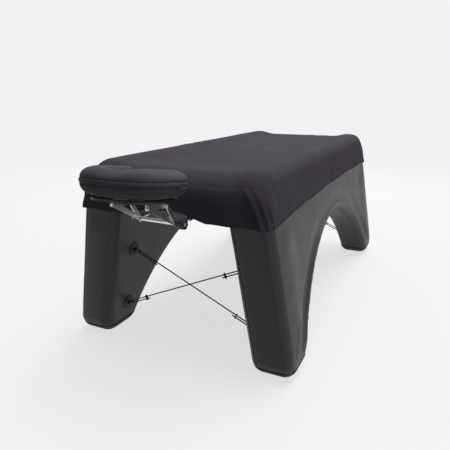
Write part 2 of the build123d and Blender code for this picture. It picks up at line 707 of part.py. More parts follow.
for name, side in SIDES:
    flange_low = mirrored_x(side, FLANGE_X, BAR)
    with BuildPart() as platform_angle:
        with BuildSketch(from_pivots(1, flange_low)):
            with Locations((PIVOT_SPAN / 2, 0)):
                SlotOverall(PIVOT_SPAN + 2 * ANGLE_PAST, ANGLE_HEIGHT)
            with Locations((PIVOT_SPAN / 2, PLATE_UP / 2)):
                Rectangle(PIVOT_SPAN + 2 * ANGLE_PAST, PLATE_UP)
            with Locations((0, 0), (PIVOT_SPAN, 0)):
                Circle(PIVOT, mode=Mode.SUBTRACT)
        extrude(amount=BAR)
        middle_x = side * (FLANGE_X + ANGLE_WIDTH / 2)
        with BuildSketch(platform_plane(middle_x, PIVOT_SPAN / 2, PLATE_UP - BAR)):
            Rectangle(ANGLE_WIDTH, PIVOT_SPAN + 2 * ANGLE_PAST)
            with Locations(*[(side * 5, spot - PIVOT_SPAN / 2) for spot in SCREW_SPOTS]):
                Circle(SCREW, mode=Mode.SUBTRACT)
        extrude(amount=BAR)
    save(platform_angle.part, f"platform_angle_{name}")

    rounds = []
    for back, nut_x in ((0.0, ARM_X + BAR + PLAY), (PIVOT_SPAN, STAY_X + BAR + PLAY)):
        at = platform_plane(back=back).origin
        reach = nut_x - FLANGE_X
        head_low = mirrored_x(side, FLANGE_X - BOLT_HEAD, BOLT_HEAD)
        rounds.append(disc(mirrored_x(side, FLANGE_X, reach), at.Y, at.Z, PIVOT, reach))
        rounds.append(disc(head_low, at.Y, at.Z, BOLT_RADIUS, BOLT_HEAD))
        rounds.append(disc(mirrored_x(side, nut_x, BOLT_NUT), at.Y, at.Z, 2 * PIVOT, BOLT_NUT))
    with BuildPart() as pivot_bolts:
        for piece in rounds:
            add(piece)
    save(pivot_bolts.part, f"pivot_bolts_{name}")

    at = platform_plane(back=PIVOT_SPAN).origin
    width = STAY_X - PLAY - FLANGE_X - BAR
    spacer_low = mirrored_x(side, FLANGE_X + BAR, width)
    pivot_spacer = disc(spacer_low, at.Y, at.Z, SPACER_RADIUS, width, PIVOT)
    save(pivot_spacer, f"pivot_spacer_{name}")

    with BuildPart() as plate_screws:
        spots = [(side * SCREW_X, spot) for spot in SCREW_SPOTS]
        with BuildSketch(platform_plane(up=PLATE_UP - BAR - 2)):
            with Locations(*spots):
                Circle(SCREW_HEAD)
        extrude(amount=2)
        with BuildSketch(platform_plane(up=PLATE_UP - BAR - 2)):
            with Locations(*spots):
                Circle(SCREW)
        extrude(amount=BAR + PLATE)
    save(plate_screws.part, f"plate_screws_{name}")

plate_shape = plate_outline(0)
pad_shape = plate_outline(PAD_INSET)
with BuildPart() as platform_plate:
    with BuildSketch(platform_plane(up=PLATE_UP)):
        add(plate_shape)
    extrude(amount=PLATE)
    spots = [(side * SCREW_X, spot) for _, side in SIDES for spot in SCREW_SPOTS]
    with BuildSketch(platform_plane(up=PLATE_UP)):
        with Locations(*spots):
            Circle(SCREW)
    extrude(amount=PLATE - 2, mode=Mode.SUBTRACT)
save(platform_plate.part, "platform_plate")

with BuildPart() as hook_pad:
    with BuildSketch(platform_plane(up=PLATE_UP + PLATE)):
        add(pad_shape)
    extrude(amount=PAD)
save(hook_pad.part, "hook_pad")

# --- face cushion -------------------------------------------------------

with BuildPart() as face_cushion:
    with BuildSketch(platform_plane(up=PLATE_UP + PLATE + PAD + PLAY)) as outline:
        with Locations((0, CUSHION_BACK - CUSHION_DEPTH / 2)):
            Rectangle(CUSHION_WIDTH, CUSHION_DEPTH)
        fillet(outline.vertices().group_by(Axis.Y)[0], CUSHION_FRONT_ROUND)
        fillet(outline.vertices().group_by(Axis.Y)[-1], CUSHION_BACK_ROUND)
        with Locations((0, FACE_END + FACE_WIDTH / 2)):
            Circle(FACE_WIDTH / 2, mode=Mode.SUBTRACT)
        with Locations((0, FACE_END + FACE_WIDTH / 2 + FACE_DEPTH / 2)):
            Rectangle(FACE_WIDTH, FACE_DEPTH, mode=Mode.SUBTRACT)
        mouth = outline.vertices().group_by(Axis.Y)[-1].sort_by(lambda v: abs(v.X))
        fillet(mouth[0:2], FACE_MOUTH_ROUND)
    extrude(amount=CUSHION)
    flat = [f for f in face_cushion.faces().filter_by(GeomType.PLANE) if abs(f.normal_at().Z) > 0.9]
    fillet([e for f in flat for e in f.edges()], CUSHION_ROUND)
save(face_cushion.part, "face_cushion")
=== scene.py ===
import json
import math

import bmesh
import bpy
import numpy as np
from mathutils import Matrix, Vector, noise
from mathutils.bvhtree import BVHTree


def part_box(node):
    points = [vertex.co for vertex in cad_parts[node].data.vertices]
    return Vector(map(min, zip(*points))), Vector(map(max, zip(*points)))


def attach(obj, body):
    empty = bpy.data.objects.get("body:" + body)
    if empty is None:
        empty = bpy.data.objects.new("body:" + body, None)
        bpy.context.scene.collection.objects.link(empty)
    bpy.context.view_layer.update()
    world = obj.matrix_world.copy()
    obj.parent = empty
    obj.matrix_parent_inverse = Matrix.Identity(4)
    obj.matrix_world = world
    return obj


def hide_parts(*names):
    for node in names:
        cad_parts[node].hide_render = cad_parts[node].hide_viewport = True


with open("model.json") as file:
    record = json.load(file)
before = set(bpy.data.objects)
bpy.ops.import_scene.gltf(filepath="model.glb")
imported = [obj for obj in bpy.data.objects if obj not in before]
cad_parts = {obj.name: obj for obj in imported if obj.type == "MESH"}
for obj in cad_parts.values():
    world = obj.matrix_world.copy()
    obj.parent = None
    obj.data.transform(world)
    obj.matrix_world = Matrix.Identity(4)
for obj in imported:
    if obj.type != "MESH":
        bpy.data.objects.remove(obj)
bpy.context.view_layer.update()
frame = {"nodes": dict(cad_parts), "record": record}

NODES = frame["nodes"]
SCENE = bpy.context.scene

# Sizes that the looks share with the frame, in metres
MM = 0.001
SHEET_OFF = 2.5 * MM  # the sheet's outside, off the chambers
RIDGE_HEIGHT = 0.74
HALF_AT_FLOOR = 0.4905  # half the width over both chambers, at the floor
SPLAY = math.radians(9.8)  # how far the chambers lean inwards
BACKDROP = (0.885, 0.888, 0.895)

sheet_lo, sheet_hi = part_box("fitted_sheet")
HEAD_Y = sheet_lo.y + SHEET_OFF
FOOT_Y = sheet_hi.y - SHEET_OFF
MIDDLE_Y = (HEAD_Y + FOOT_Y) / 2
HALF_LENGTH = (FOOT_Y - HEAD_Y) / 2
RIDGE_TOP = sheet_hi.z


# --- camera, light and floor ---------------------------------------------

CAMERA_PLACE = (0.8677, HEAD_Y - 1.3175, 0.9849)
CAMERA_AZIMUTH = math.radians(25.70)
CAMERA_DOWN = math.radians(16.0)
FLOOR_REACH = 60.0
FADE_FROM, FADE_TO = 2.5, 9.0  # where the floor turns into the backdrop


def add_camera():
    data = bpy.data.cameras.new("camera")
    camera = bpy.data.objects.new("camera", data)
    SCENE.collection.objects.link(camera)
    camera.location = CAMERA_PLACE
    camera.rotation_euler = (math.pi / 2 - CAMERA_DOWN, 0, CAMERA_AZIMUTH)
    data.lens = 36.4
    data.sensor_width = 36
    data.dof.use_dof = False
    data.clip_end = 100
    SCENE.camera = camera


def area_light(name, place, target, size, watts, colour=(1, 1, 1)):
    data = bpy.data.lights.new(name, "AREA")
    data.shape = "RECTANGLE"
    data.size, data.size_y = size
    data.energy = watts
    data.color = colour
    lamp = bpy.data.objects.new(name, data)
    SCENE.collection.objects.link(lamp)
    lamp.location = place
    lamp.rotation_euler = (Vector(target) - Vector(place)).to_track_quat("-Z", "Y").to_euler()


def add_world():
    """A pale backdrop that gives much less light than it shows."""
    world = bpy.data.worlds.new("studio")
    SCENE.world = world
    world.use_nodes = True
    tree = world.node_tree
    background = tree.nodes["Background"]
    background.inputs["Color"].default_value = (*BACKDROP, 1)
    seen = tree.nodes.new("ShaderNodeLightPath")
    strength = tree.nodes.new("ShaderNodeMapRange")
    strength.inputs["To Min"].default_value = 0.20  # as a light
    strength.inputs["To Max"].default_value = 1.0  # as the backdrop
    tree.links.new(seen.outputs["Is Camera Ray"], strength.inputs["Value"])
    tree.links.new(strength.outputs["Result"], background.inputs["Strength"])


def add_lights():
    sun = bpy.data.lights.new("overhead", "SUN")
    sun.energy = 3.3
    sun.angle = math.radians(50)
    lamp = bpy.data.objects.new("overhead", sun)
    SCENE.collection.objects.link(lamp)
    lamp.rotation_euler = Vector((-0.12, -0.30, -1)).to_track_quat("-Z", "Y").to_euler()
    cool = (0.97, 0.98, 1.0)
    area_light("side", (3.6, -1.9, 1.3), (0.45, -0.7, 0.15), (2.0, 1.2), 20, cool)
    area_light("rim", (-0.6, 3.4, 3.0), (0, 0.2, 0.7), (3.0, 2.0), 60)


def add_floor():
    mesh = bpy.data.meshes.new("floor")
    reach = FLOOR_REACH
    corners = [(-reach, -reach, 0), (reach, -reach, 0), (reach, reach, 0), (-reach, reach, 0)]
    mesh.from_pydata(corners, [], [(0, 1, 2, 3)])
    floor = bpy.data.objects.new("floor", mesh)
    SCENE.collection.objects.link(floor)
    mesh.materials.append(pale_floor())
    floor.visible_diffuse = False  # its bounce would flatten the black fabrics


def pale_floor():
    """A white sweep: it catches soft shadows near the object, and meets the backdrop unseen."""
    pale = bpy.data.materials.new("floor_pale")
    pale.use_nodes = True
    tree = pale.node_tree
    shader = tree.nodes["Principled BSDF"]
    shader.inputs["Roughness"].default_value = 0.8
    shader.inputs["Specular IOR Level"].default_value = 0.0
    shader.inputs["Emission Color"].default_value = (*BACKDROP, 1)
    places = tree.nodes.new("ShaderNodeTexCoord")
    distance = tree.nodes.new("ShaderNodeVectorMath")
    distance.operation = "LENGTH"
    tree.links.new(places.outputs["Object"], distance.inputs[0])
    for socket, near, far in (("Emission Strength", 0.78, 1.0), ("Base Color", 0.17, 0.0)):
        fade = tree.nodes.new("ShaderNodeMapRange")
        fade.interpolation_type = "SMOOTHSTEP"
        fade.inputs["From Min"].default_value = FADE_FROM
        fade.inputs["From Max"].default_value = FADE_TO
        fade.inputs["To Min"].default_value = near
        fade.inputs["To Max"].default_value = far
        tree.links.new(distance.outputs["Value"], fade.inputs["Value"])
        tree.links.new(fade.outputs["Result"], shader.inputs[socket])
    return pale


# --- materials -----------------------------------------------------------

class Finish:
    """A node material that is built up from a Principled shader in a few calls."""

    def __init__(self, name, roughness, metallic=0.0, sheen=0.0):
        self.material = bpy.data.materials.new(name)
        self.material.use_nodes = True
        self.tree = self.material.node_tree
        self.shader = self.tree.nodes["Principled BSDF"]
        self.shader.inputs["Roughness"].default_value = roughness
        self.shader.inputs["Metallic"].default_value = metallic
        self.shader.inputs["Sheen Weight"].default_value = sheen
        self.shader.inputs["Sheen Roughness"].default_value = 0.45
        self.coordinates = self.tree.nodes.new("ShaderNodeTexCoord")
        self.bump = None

    def node(self, kind, **values):
        made = self.tree.nodes.new(kind)
        for key, value in values.items():
            if hasattr(made, key):
                setattr(made, key, value)
            else:
                made.inputs[key].default_value = value
        return made

    def link(self, source, target):
        self.tree.links.new(source, target)

    def place(self, scale):
        """Object coordinates, stretched by a scale on each axis."""
        mapping = self.node("ShaderNodeMapping")
        mapping.inputs["Scale"].default_value = scale
        self.link(self.coordinates.outputs["Object"], mapping.inputs["Vector"])
        return mapping.outputs["Vector"]

    def noise(self, scale, detail, stretch=(1, 1, 1)):
        made = self.node("ShaderNodeTexNoise", Scale=scale, Detail=detail)
        self.link(self.place(stretch), made.inputs["Vector"])
        return made.outputs["Fac"]

    def wave(self, scale, direction, distortion=0.0, stretch=(1, 1, 1)):
        made = self.node("ShaderNodeTexWave", Scale=scale, Distortion=distortion)
        made.bands_direction = direction
        self.link(self.place(stretch), made.inputs["Vector"])
        return made.outputs["Fac"]

    def colour(self, source, low, high):
        """Base colour from one colour to another, as the source goes from 0.3 to 0.7."""
        made = self.node("ShaderNodeValToRGB")
        first, last = made.color_ramp.elements
        first.position, last.position = 0.3, 0.7
        first.color = (*low, 1)
        last.color = (*high, 1)
        self.link(source, made.inputs["Fac"])
        self.link(made.outputs["Color"], self.shader.inputs["Base Color"])

    def rough(self, source, low, high):
        made = self.node("ShaderNodeMapRange")
        made.inputs["To Min"].default_value = low
        made.inputs["To Max"].default_value = high
        self.link(source, made.inputs["Value"])
        self.link(made.outputs["Result"], self.shader.inputs["Roughness"])

    def raise_by(self, source, distance, strength=1.0):
        """Adds a layer of bump; distance is in metres."""
        made = self.node("ShaderNodeBump", Strength=strength, Distance=distance)
        self.link(source, made.inputs["Height"])
        if self.bump is not None:
            self.link(self.bump.outputs["Normal"], made.inputs["Normal"])
        self.link(made.outputs["Normal"], self.shader.inputs["Normal"])
        self.bump = made

    def multiply(self, first, second):
        made = self.node("ShaderNodeMath", operation="MULTIPLY")
        self.link(first, made.inputs[0])
        self.link(second, made.inputs[1])
        return made.outputs[0]


def coated_fabric():
    """Charcoal PVC-coated fabric: a fine leathery grain over a faint scrim weave."""
    finish = Finish("coated_fabric", 0.5)
    finish.shader.inputs["Specular IOR Level"].default_value = 0.36
    finish.colour(finish.noise(3.5, 6), (0.0120, 0.0123, 0.0142), (0.0175, 0.0179, 0.0202))
    finish.rough(finish.noise(14, 5), 0.36, 0.50)
    finish.raise_by(finish.noise(900, 3), 0.25 * MM, 0.6)
    scrim = finish.multiply(finish.wave(160, "Y"), finish.wave(160, "Z"))
    finish.raise_by(scrim, 0.12 * MM, 0.35)
    return finish.material


def jersey():
    """The fitted sheet: near-black brushed jersey with a purple-brown cast and a soft nap."""
    finish = Finish("jersey", 0.92, sheen=0.03)
    finish.shader.inputs["Sheen Tint"].default_value = (0.68, 0.58, 0.76, 1)
    finish.shader.inputs["Specular IOR Level"].default_value = 0.08
    finish.colour(finish.noise(7, 8), (0.043, 0.0375, 0.0475), (0.052, 0.0455, 0.0575))
    finish.rough(finish.noise(40, 4), 0.85, 1.0)
    finish.raise_by(finish.noise(700, 4, (1, 0.5, 1)), 0.5 * MM, 0.7)
    finish.raise_by(finish.wave(320, "Y", 1.5), 0.15 * MM, 0.4)
    return finish.material


def cushion_cloth():
    """The face cushion's cover: a dark grey stretch fabric."""
    finish = Finish("cushion_cloth", 0.8, sheen=0.03)
    finish.shader.inputs["Sheen Tint"].default_value = (0.75, 0.72, 0.76, 1)
    finish.shader.inputs["Specular IOR Level"].default_value = 0.1
    finish.colour(finish.noise(9, 6), (0.052, 0.047, 0.055), (0.072, 0.066, 0.076))
    finish.raise_by(finish.noise(800, 4), 0.35 * MM, 0.6)
    finish.raise_by(finish.wave(260, "X", 1.0), 0.12 * MM, 0.4)
    return finish.material


def brushed_aluminium():
    finish = Finish("brushed_aluminium", 0.32, metallic=1.0)
    finish.colour(finish.noise(30, 3), (0.60, 0.61, 0.63), (0.74, 0.75, 0.76))
    finish.rough(finish.noise(90, 6, (6, 0.6, 6)), 0.24, 0.42)
    finish.raise_by(finish.noise(400, 5, (8, 0.4, 8)), 0.05 * MM, 0.5)
    return finish.material


def zinc_steel():
    finish = Finish("zinc_steel", 0.28, metallic=1.0)
    finish.colour(finish.noise(60, 4), (0.48, 0.49, 0.5), (0.66, 0.66, 0.67))
    finish.rough(finish.noise(200, 4), 0.2, 0.38)
    return finish.material


def moulded_plastic():
    finish = Finish("moulded_plastic", 0.45)
    finish.colour(finish.noise(40, 3), (0.012, 0.012, 0.013), (0.02, 0.02, 0.021))
    finish.rough(finish.noise(120, 3), 0.38, 0.55)
    finish.raise_by(finish.noise(1600, 2), 0.1 * MM, 0.5)
    return finish.material


def rubber():
    finish = Finish("black_rubber", 0.7)
    finish.colour(finish.noise(25, 5), (0.014, 0.014, 0.015), (0.026, 0.026, 0.028))
    finish.rough(finish.noise(60, 4), 0.6, 0.85)
    finish.raise_by(finish.noise(1100, 3), 0.2 * MM, 0.6)
    return finish.material


def black_steel():
    finish = Finish("black_steel", 0.35, metallic=0.6)
    finish.colour(finish.noise(80, 3), (0.015, 0.015, 0.016), (0.03, 0.03, 0.031))
    finish.rough(finish.noise(150, 3), 0.28, 0.45)
    return finish.material


def braid():
    """A braided cord: two crossing helices of strands, seen as fine bumps."""
    finish = Finish("braid", 0.8, sheen=0.2)
    finish.colour(finish.noise(300, 3), (0.004, 0.004, 0.0045), (0.011, 0.011, 0.012))
    finish.raise_by(finish.wave(150, "DIAGONAL", 0.5), 0.5 * MM, 0.7)
    finish.raise_by(finish.wave(150, "DIAGONAL", 0.5, (-1, 1, 1)), 0.5 * MM, 0.7)
    return finish.material


def painted_board():
    finish = Finish("painted_board", 0.5)
    finish.colour(finish.noise(20, 5, (1, 6, 6)), (0.0035, 0.0035, 0.004), (0.008, 0.008, 0.0085))
    finish.rough(finish.noise(60, 4), 0.4, 0.6)
    finish.raise_by(finish.noise(500, 4, (0.3, 1, 1)), 0.1 * MM, 0.5)
    return finish.material


def hook_tape():
    finish = Finish("hook_tape", 0.95, sheen=0.3)
    finish.colour(finish.noise(60, 3), (0.008, 0.008, 0.009), (0.016, 0.016, 0.017))
    finish.raise_by(finish.noise(1300, 2), 0.8 * MM, 1.0)
    return finish.material


def sewing_thread():
    finish = Finish("sewing_thread", 0.6, sheen=0.2)
    finish.colour(finish.noise(500, 2), (0.006, 0.005, 0.0065), (0.013, 0.011, 0.014))
    finish.raise_by(finish.wave(900, "DIAGONAL"), 0.1 * MM, 0.5)
    return finish.material


def paint(obj, material):
    obj.data.materials.clear()
    obj.data.materials.append(material)


def starting(*prefixes):
    return [name for name in NODES if name.startswith(prefixes)]


def soften(names, width):
    """A small bevel on a hard CAD piece, so that its edges catch the light."""
    for name in names:
        bevel = NODES[name].modifiers.new("edge", "BEVEL")
        bevel.width = width
        bevel.segments = 2
        bevel.limit_method = "ANGLE"
        bevel.angle_limit = math.radians(40)


add_camera()
add_world()
add_lights()
add_floor()
SCENE.view_settings.view_transform = "Standard"

FABRIC = coated_fabric()
JERSEY = jersey()
CUSHION = cushion_cloth()
ALUMINIUM = brushed_aluminium()
STEEL = zinc_steel()
PLASTIC = moulded_plastic()
RUBBER = rubber()
BLACK_STEEL = black_steel()
BRAID = braid()
BOARD = painted_board()
HOOK = hook_tape()
THREAD = sewing_thread()

FINISHES = (
    (FABRIC, ("left_side_chamber", "right_side_chamber", "deck_chamber")),
    (RUBBER, ("sole_pad", "ring_patches", "cradle_sleeve")),
    (BLACK_STEEL, ("rings_",)),
    (BRAID, ("brace_cord",)),
    (PLASTIC, ("line_adjusters", "valve_", "base_bracket", "post_plug", "clamp_knob", "friction")),
    (JERSEY, ("fitted_sheet",)),
    (ALUMINIUM, ("cradle_post", "cradle_arm", "cradle_stay", "crossbar", "platform_angle")),
    (STEEL, ("clamp_rod", "clamp_nut", "clamp_bolt", "pivot_", "plate_screws")),
    (BOARD, ("platform_plate",)),
    (HOOK, ("hook_pad",)),
    (CUSHION, ("face_cushion",)),
)
for finish, prefixes in FINISHES:
    for name in starting(*prefixes):
        paint(NODES[name], finish)

soften(starting("cradle_arm", "cradle_stay", "platform_angle"), 0.5 * MM)
soften(starting("platform_plate"), 1.5 * MM)


# --- mesh helpers --------------------------------------------------------

def smoothstep(low, high, value):
    t = np.clip((value - low) / (high - low), 0, 1)
    return t * t * (3 - 2 * t)


def bump(value, centre, width):
    """A smooth hump, 1 at the centre and 0 beyond the width."""
    t = np.clip(1 - np.abs(value - centre) / width, 0, 1)
    return t * t * (3 - 2 * t)


def grain(places, seed):
    """Smooth noise at each of a list of places, about -1 to 1."""
    shift = Vector((seed * 7.31, seed * 3.17, seed * 5.53))
    return np.array([noise.noise(Vector(place) + shift) for place in places.tolist()])


def creases(places, seed, sharp=3.0):
    """Narrow ridges where the noise passes through zero, 0 to 1."""
    return np.clip(1 - sharp * np.abs(grain(places, seed)), 0, 1) ** 2


CAD_TOP_ROUND = 46 * MM
BLOWN_TOP_ROUND = 120 * MM


def round_tops(places):
    """Draws the top edge of both ends in to the blown-up chambers' larger radius there."""
    small, large = CAD_TOP_ROUND, BLOWN_TOP_ROUND
    out = np.abs(places[:, 1] - MIDDLE_Y) - (HALF_LENGTH + SHEET_OFF - large)
    up = places[:, 2] - (RIDGE_TOP - large)
    near = (out > 0) & (up > 0)
    size = np.where(near, np.hypot(out, up), 1.0)
    out_way, up_way = np.where(near, out, 1) / size, np.where(near, up, 0) / size
    inner = large - small
    along = inner * (out_way + up_way)
    bend = along + np.sqrt(np.clip(along**2 - 2 * inner**2 + small**2, 0, None))
    flat = large / np.maximum(out_way, up_way)
    on_bend = np.minimum(bend * out_way, bend * up_way) > inner
    scale = np.where(near, large / np.where(on_bend, bend, flat), 1)
    moved = places.copy()
    way = np.sign(places[:, 1] - MIDDLE_Y)
    moved[:, 1] -= way * np.where(near, out * (1 - scale), 0)
    moved[:, 2] -= np.where(near, up * (1 - scale), 0)
    return moved


def add_piece(name, mesh, material):
    piece = bpy.data.objects.new(name, mesh)
    SCENE.collection.objects.link(piece)
    paint(piece, material)
    mesh.shade_smooth()
    return piece


def from_faces(name, verts, faces, material):
    mesh = bpy.data.meshes.new(name)
    mesh.from_pydata([tuple(v) for v in verts], [], faces)
    mesh.update()
    return add_piece(name, mesh, material)


def settle(piece):
    """Applies a piece's modifiers to its mesh."""
    graph = bpy.context.evaluated_depsgraph_get()
    mesh = bpy.data.meshes.new_from_object(piece.evaluated_get(graph))
    old = piece.data
    piece.modifiers.clear()
    piece.data = mesh
    bpy.data.meshes.remove(old)


def discard(piece):
    bpy.data.meshes.remove(piece.data)


def positions(mesh):
    flat = np.empty(len(mesh.vertices) * 3, dtype=np.float32)
    mesh.vertices.foreach_get("co", flat)
    return flat.reshape(-1, 3).astype(float)


def normals(mesh):
    flat = np.empty(len(mesh.vertices) * 3, dtype=np.float32)
    mesh.vertex_normals.foreach_get("vector", flat)
    return flat.reshape(-1, 3).astype(float)


def set_positions(mesh, places):
    mesh.vertices.foreach_set("co", places.astype(np.float32).ravel())
    mesh.update()


def tallness(verts):
    heights = [vert.co.z for vert in verts]
    return max(heights) - min(heights)


def outer_shell(node, name):
    """A copy of a CAD node's mesh with only its outermost shell."""
    form = bmesh.new()
    form.from_mesh(NODES[node].data)
    bmesh.ops.remove_doubles(form, verts=form.verts, dist=0.01 * MM)
    left = set(form.verts)
    shells = []
    while left:
        island, stack = set(), [next(iter(left))]
        while stack:
            vert = stack.pop()
            if vert in left:
                left.discard(vert)
                island.add(vert)
                stack.extend(edge.other_vert(vert) for edge in vert.link_edges)
        shells.append(island)
    keep = max(shells, key=tallness)
    bmesh.ops.delete(form, geom=[v for v in form.verts if v not in keep], context="VERTS")
    mesh = bpy.data.meshes.new(name)
    form.to_mesh(mesh)
    form.free()
    return add_piece(name, mesh, FABRIC)


def remesh(piece, voxel):
    modifier = piece.modifiers.new("remesh", "REMESH")
    modifier.mode = "VOXEL"
    modifier.voxel_size = voxel
    settle(piece)


def relax(piece, times):
    modifier = piece.modifiers.new("relax", "SMOOTH")
    modifier.factor = 0.5
    modifier.iterations = times
    settle(piece)


def subdivide(piece):
    modifier = piece.modifiers.new("subdivide", "SUBSURF")
    modifier.levels = modifier.render_levels = 1
    settle(piece)


def wrap(piece, target, offset=0.0):
    modifier = piece.modifiers.new("wrap", "SHRINKWRAP")
    modifier.target = target
    modifier.wrap_method = "NEAREST_SURFACEPOINT"
    modifier.wrap_mode = "ABOVE_SURFACE" if offset else "ON_SURFACE"
    modifier.offset = offset
    settle(piece)


def thicken(piece, thickness, offset=1.0):
    modifier = piece.modifiers.new("thicken", "SOLIDIFY")
    modifier.thickness = thickness
    modifier.offset = offset
    settle(piece)


def ribbon(name, rows, material):
    """A strip of quads through rows of points."""
    across = len(rows[0])
    verts = [point for row in rows for point in row]
    faces = []
    for i in range(len(rows) - 1):
        for j in range(across - 1):
            a = i * across + j
            faces.append((a, a + 1, a + across + 1, a + across))
    return from_faces(name, verts, faces, material)


# --- air chambers --------------------------------------------------------

CHAMBER_WIDE = 0.162
ARCH_RADIUS = 0.760
ARCH_LOW = -0.347  # height of the arch's centre
FRONT_LEAN = 0.019  # how far a leg's end face stands back at the floor
CHAMBER_EDGE = 0.045
TAPE_LOW, TAPE_HIGH = 20 * MM, 0.60  # the end tapes' reach
RING_FROM_END = 0.150
UPPER_RING = 0.360
LOWER_RING = 0.110
PATCH_CLEAR, PATCH_FREE = 0.036, 0.06  # flat under a ring patch, then free to swell
CHAMBER_VOXEL = 8 * MM
HOLLOW = 11 * MM  # the sunk band round the arch
CROWN = 8 * MM  # the middle of a leg's outer face
RIM = 4 * MM  # the arch's edge
END_CROWN = 4 * MM
PUCKER = 2.2 * MM  # pulled in towards the arch's seam
FOOT_FOLD = 1.6 * MM
CHAMBER_WAVE = 1.3 * MM
TAPE_HALF = 16 * MM
TAPE_THICK = 0.9 * MM
END_STEPS, ARCH_STEPS, TAPE_STEPS = 72, 180, 8


def swell(places, outward, seed):
    """How far the left chamber's coated fabric stands off its flat pattern, along the normal."""
    x, y, z = places.T
    along = np.abs(y - MIDDLE_Y)
    in_from_end = HALF_LENGTH - FRONT_LEAN * np.clip(1 - z / RIDGE_HEIGHT, 0, 1) - along
    from_arch = np.hypot(y - MIDDLE_Y, z - ARCH_LOW) - ARCH_RADIUS
    across = -x - (HALF_AT_FLOOR - CHAMBER_WIDE) + z * math.tan(SPLAY)
    on_outer = smoothstep(0.55, 0.95, -outward[:, 0])
    on_inner = smoothstep(0.55, 0.95, outward[:, 0])
    on_end = smoothstep(0.6, 0.95, np.abs(outward[:, 1])) * (in_from_end < 0.06)
    free = (1 - smoothstep(0.47, 0.555, z)) * smoothstep(0.04, 0.10, z)
    in_leg = smoothstep(0.25, 0.52, along)
    lively = 0.5 + 0.5 * grain(places * (2.2, 2.2, 2.2), 3 + seed)

    hollow = bump(from_arch, 0.085, 0.055) * (0.25 + 0.75 * in_leg)
    rim = bump(from_arch, 0.018, 0.045) * (0.4 + 0.6 * in_leg)
    crown = bump(in_from_end, 0.13, 0.125) * in_leg
    sunk = -HOLLOW * hollow * (0.75 + 0.5 * lively)
    face = on_outer * (sunk + CROWN * crown + RIM * rim)
    end_crown = END_CROWN * on_end * bump(across, CHAMBER_WIDE / 2, CHAMBER_WIDE / 2)

    turn = np.arctan2(z - ARCH_LOW, y - MIDDLE_Y)
    rays = np.stack((turn * 15, from_arch * 9, np.full_like(turn, seed)), 1)
    pulled = creases(rays, 11, 3.5) * np.exp(-np.clip(from_arch, 0, None) / 0.07)
    pucker = -PUCKER * pulled * (on_outer + 0.2) * (0.35 + 0.65 * in_leg)

    feet = np.stack((y * 26, z * 7, np.full_like(y, seed * 2.0)), 1)
    low = bump(z, 0.075, 0.07) * (on_outer + on_end)
    foot_folds = -FOOT_FOLD * creases(feet, 21, 3) * low
    broad = CHAMBER_WAVE * grain(places * (5, 5, 5), 31 + seed) * (on_outer + on_end)

    patched = np.ones_like(y)
    from_ring = in_from_end + FRONT_LEAN * (1 - z / RIDGE_HEIGHT) - RING_FROM_END
    for height in (UPPER_RING, LOWER_RING):
        patched *= smoothstep(PATCH_CLEAR, PATCH_FREE, np.hypot(z - height, from_ring))
    inner = on_inner * patched * (1.2 * MM * grain(places * (6, 6, 6), 41) - 0.6 * MM)
    return free * (face + end_crown + pucker * (1 - on_inner) + foot_folds + broad + inner)


def chamber_skin(name, side):
    """A chamber's skin. The right one is the left one's mirror image."""
    piece = outer_shell("left_side_chamber", name)
    form = outer_shell("left_side_chamber", "pattern")
    remesh(piece, CHAMBER_VOXEL)
    relax(piece, 4)
    wrap(piece, form)
    discard(form)
    mesh = piece.data
    places = positions(mesh)
    outward = normals(mesh)
    places += outward * swell(places, outward, side)[:, None]
    if side > 0:
        places[:, 0] *= -1
        mesh.flip_normals()
    set_positions(mesh, round_tops(places))
    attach(piece, "table")
    return piece


def seam_tapes(name, side, skin):
    """Welded tapes over a chamber's long edges: both ends and the arch, on both faces."""
    lean = math.atan2(FRONT_LEAN, RIDGE_HEIGHT - 2.5 * MM)
    half_turn = TAPE_HALF / CHAMBER_EDGE
    rows_of = []
    for end_y, way in ((HEAD_Y, -1), (FOOT_Y, 1)):
        rows = []
        for i in range(END_STEPS + 1):
            z = TAPE_LOW + (TAPE_HIGH - TAPE_LOW) * i / END_STEPS
            inwards = FRONT_LEAN * (1 - z / RIDGE_HEIGHT) + CHAMBER_EDGE / math.cos(lean)
            centre_y = end_y - way * inwards
            rows.append((centre_y, z, way * math.cos(lean), -math.sin(lean)))
        rows_of.append(rows)
    rows = []
    reach = ARCH_RADIUS + CHAMBER_EDGE
    start = math.asin((TAPE_LOW - ARCH_LOW) / ARCH_RADIUS)
    for i in range(ARCH_STEPS + 1):
        turn = start + (math.pi - 2 * start) * i / ARCH_STEPS
        rows.append(
            (
                MIDDLE_Y + reach * math.cos(turn),
                ARCH_LOW + reach * math.sin(turn),
                -math.cos(turn),
                -math.sin(turn),
            )
        )
    rows_of.append(rows)
    pieces = []
    for facing in (-1, 1):
        for rows in rows_of:
            strip = []
            for y, z, out_y, out_z in rows:
                half = HALF_AT_FLOOR - z * math.tan(SPLAY)
                if facing > 0:
                    x = half - CHAMBER_EDGE / math.cos(SPLAY)
                else:
                    x = half - CHAMBER_WIDE + CHAMBER_EDGE / math.cos(SPLAY)
                line = []
                for j in range(TAPE_STEPS + 1):
                    turn = math.pi / 4 + half_turn * (2 * j / TAPE_STEPS - 1)
                    out = CHAMBER_EDGE * math.cos(turn)
                    off = CHAMBER_EDGE * math.sin(turn)
                    line.append((side * (x + facing * out), y + out_y * off, z + out_z * off))
                strip.append(line)
            pieces.append(ribbon("strip", strip, FABRIC))
    joined = join(name, pieces)
    wrap(joined, skin, 0.5 * MM)
    face_outwards(joined, skin)
    thicken(joined, TAPE_THICK)
    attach(joined, "table")


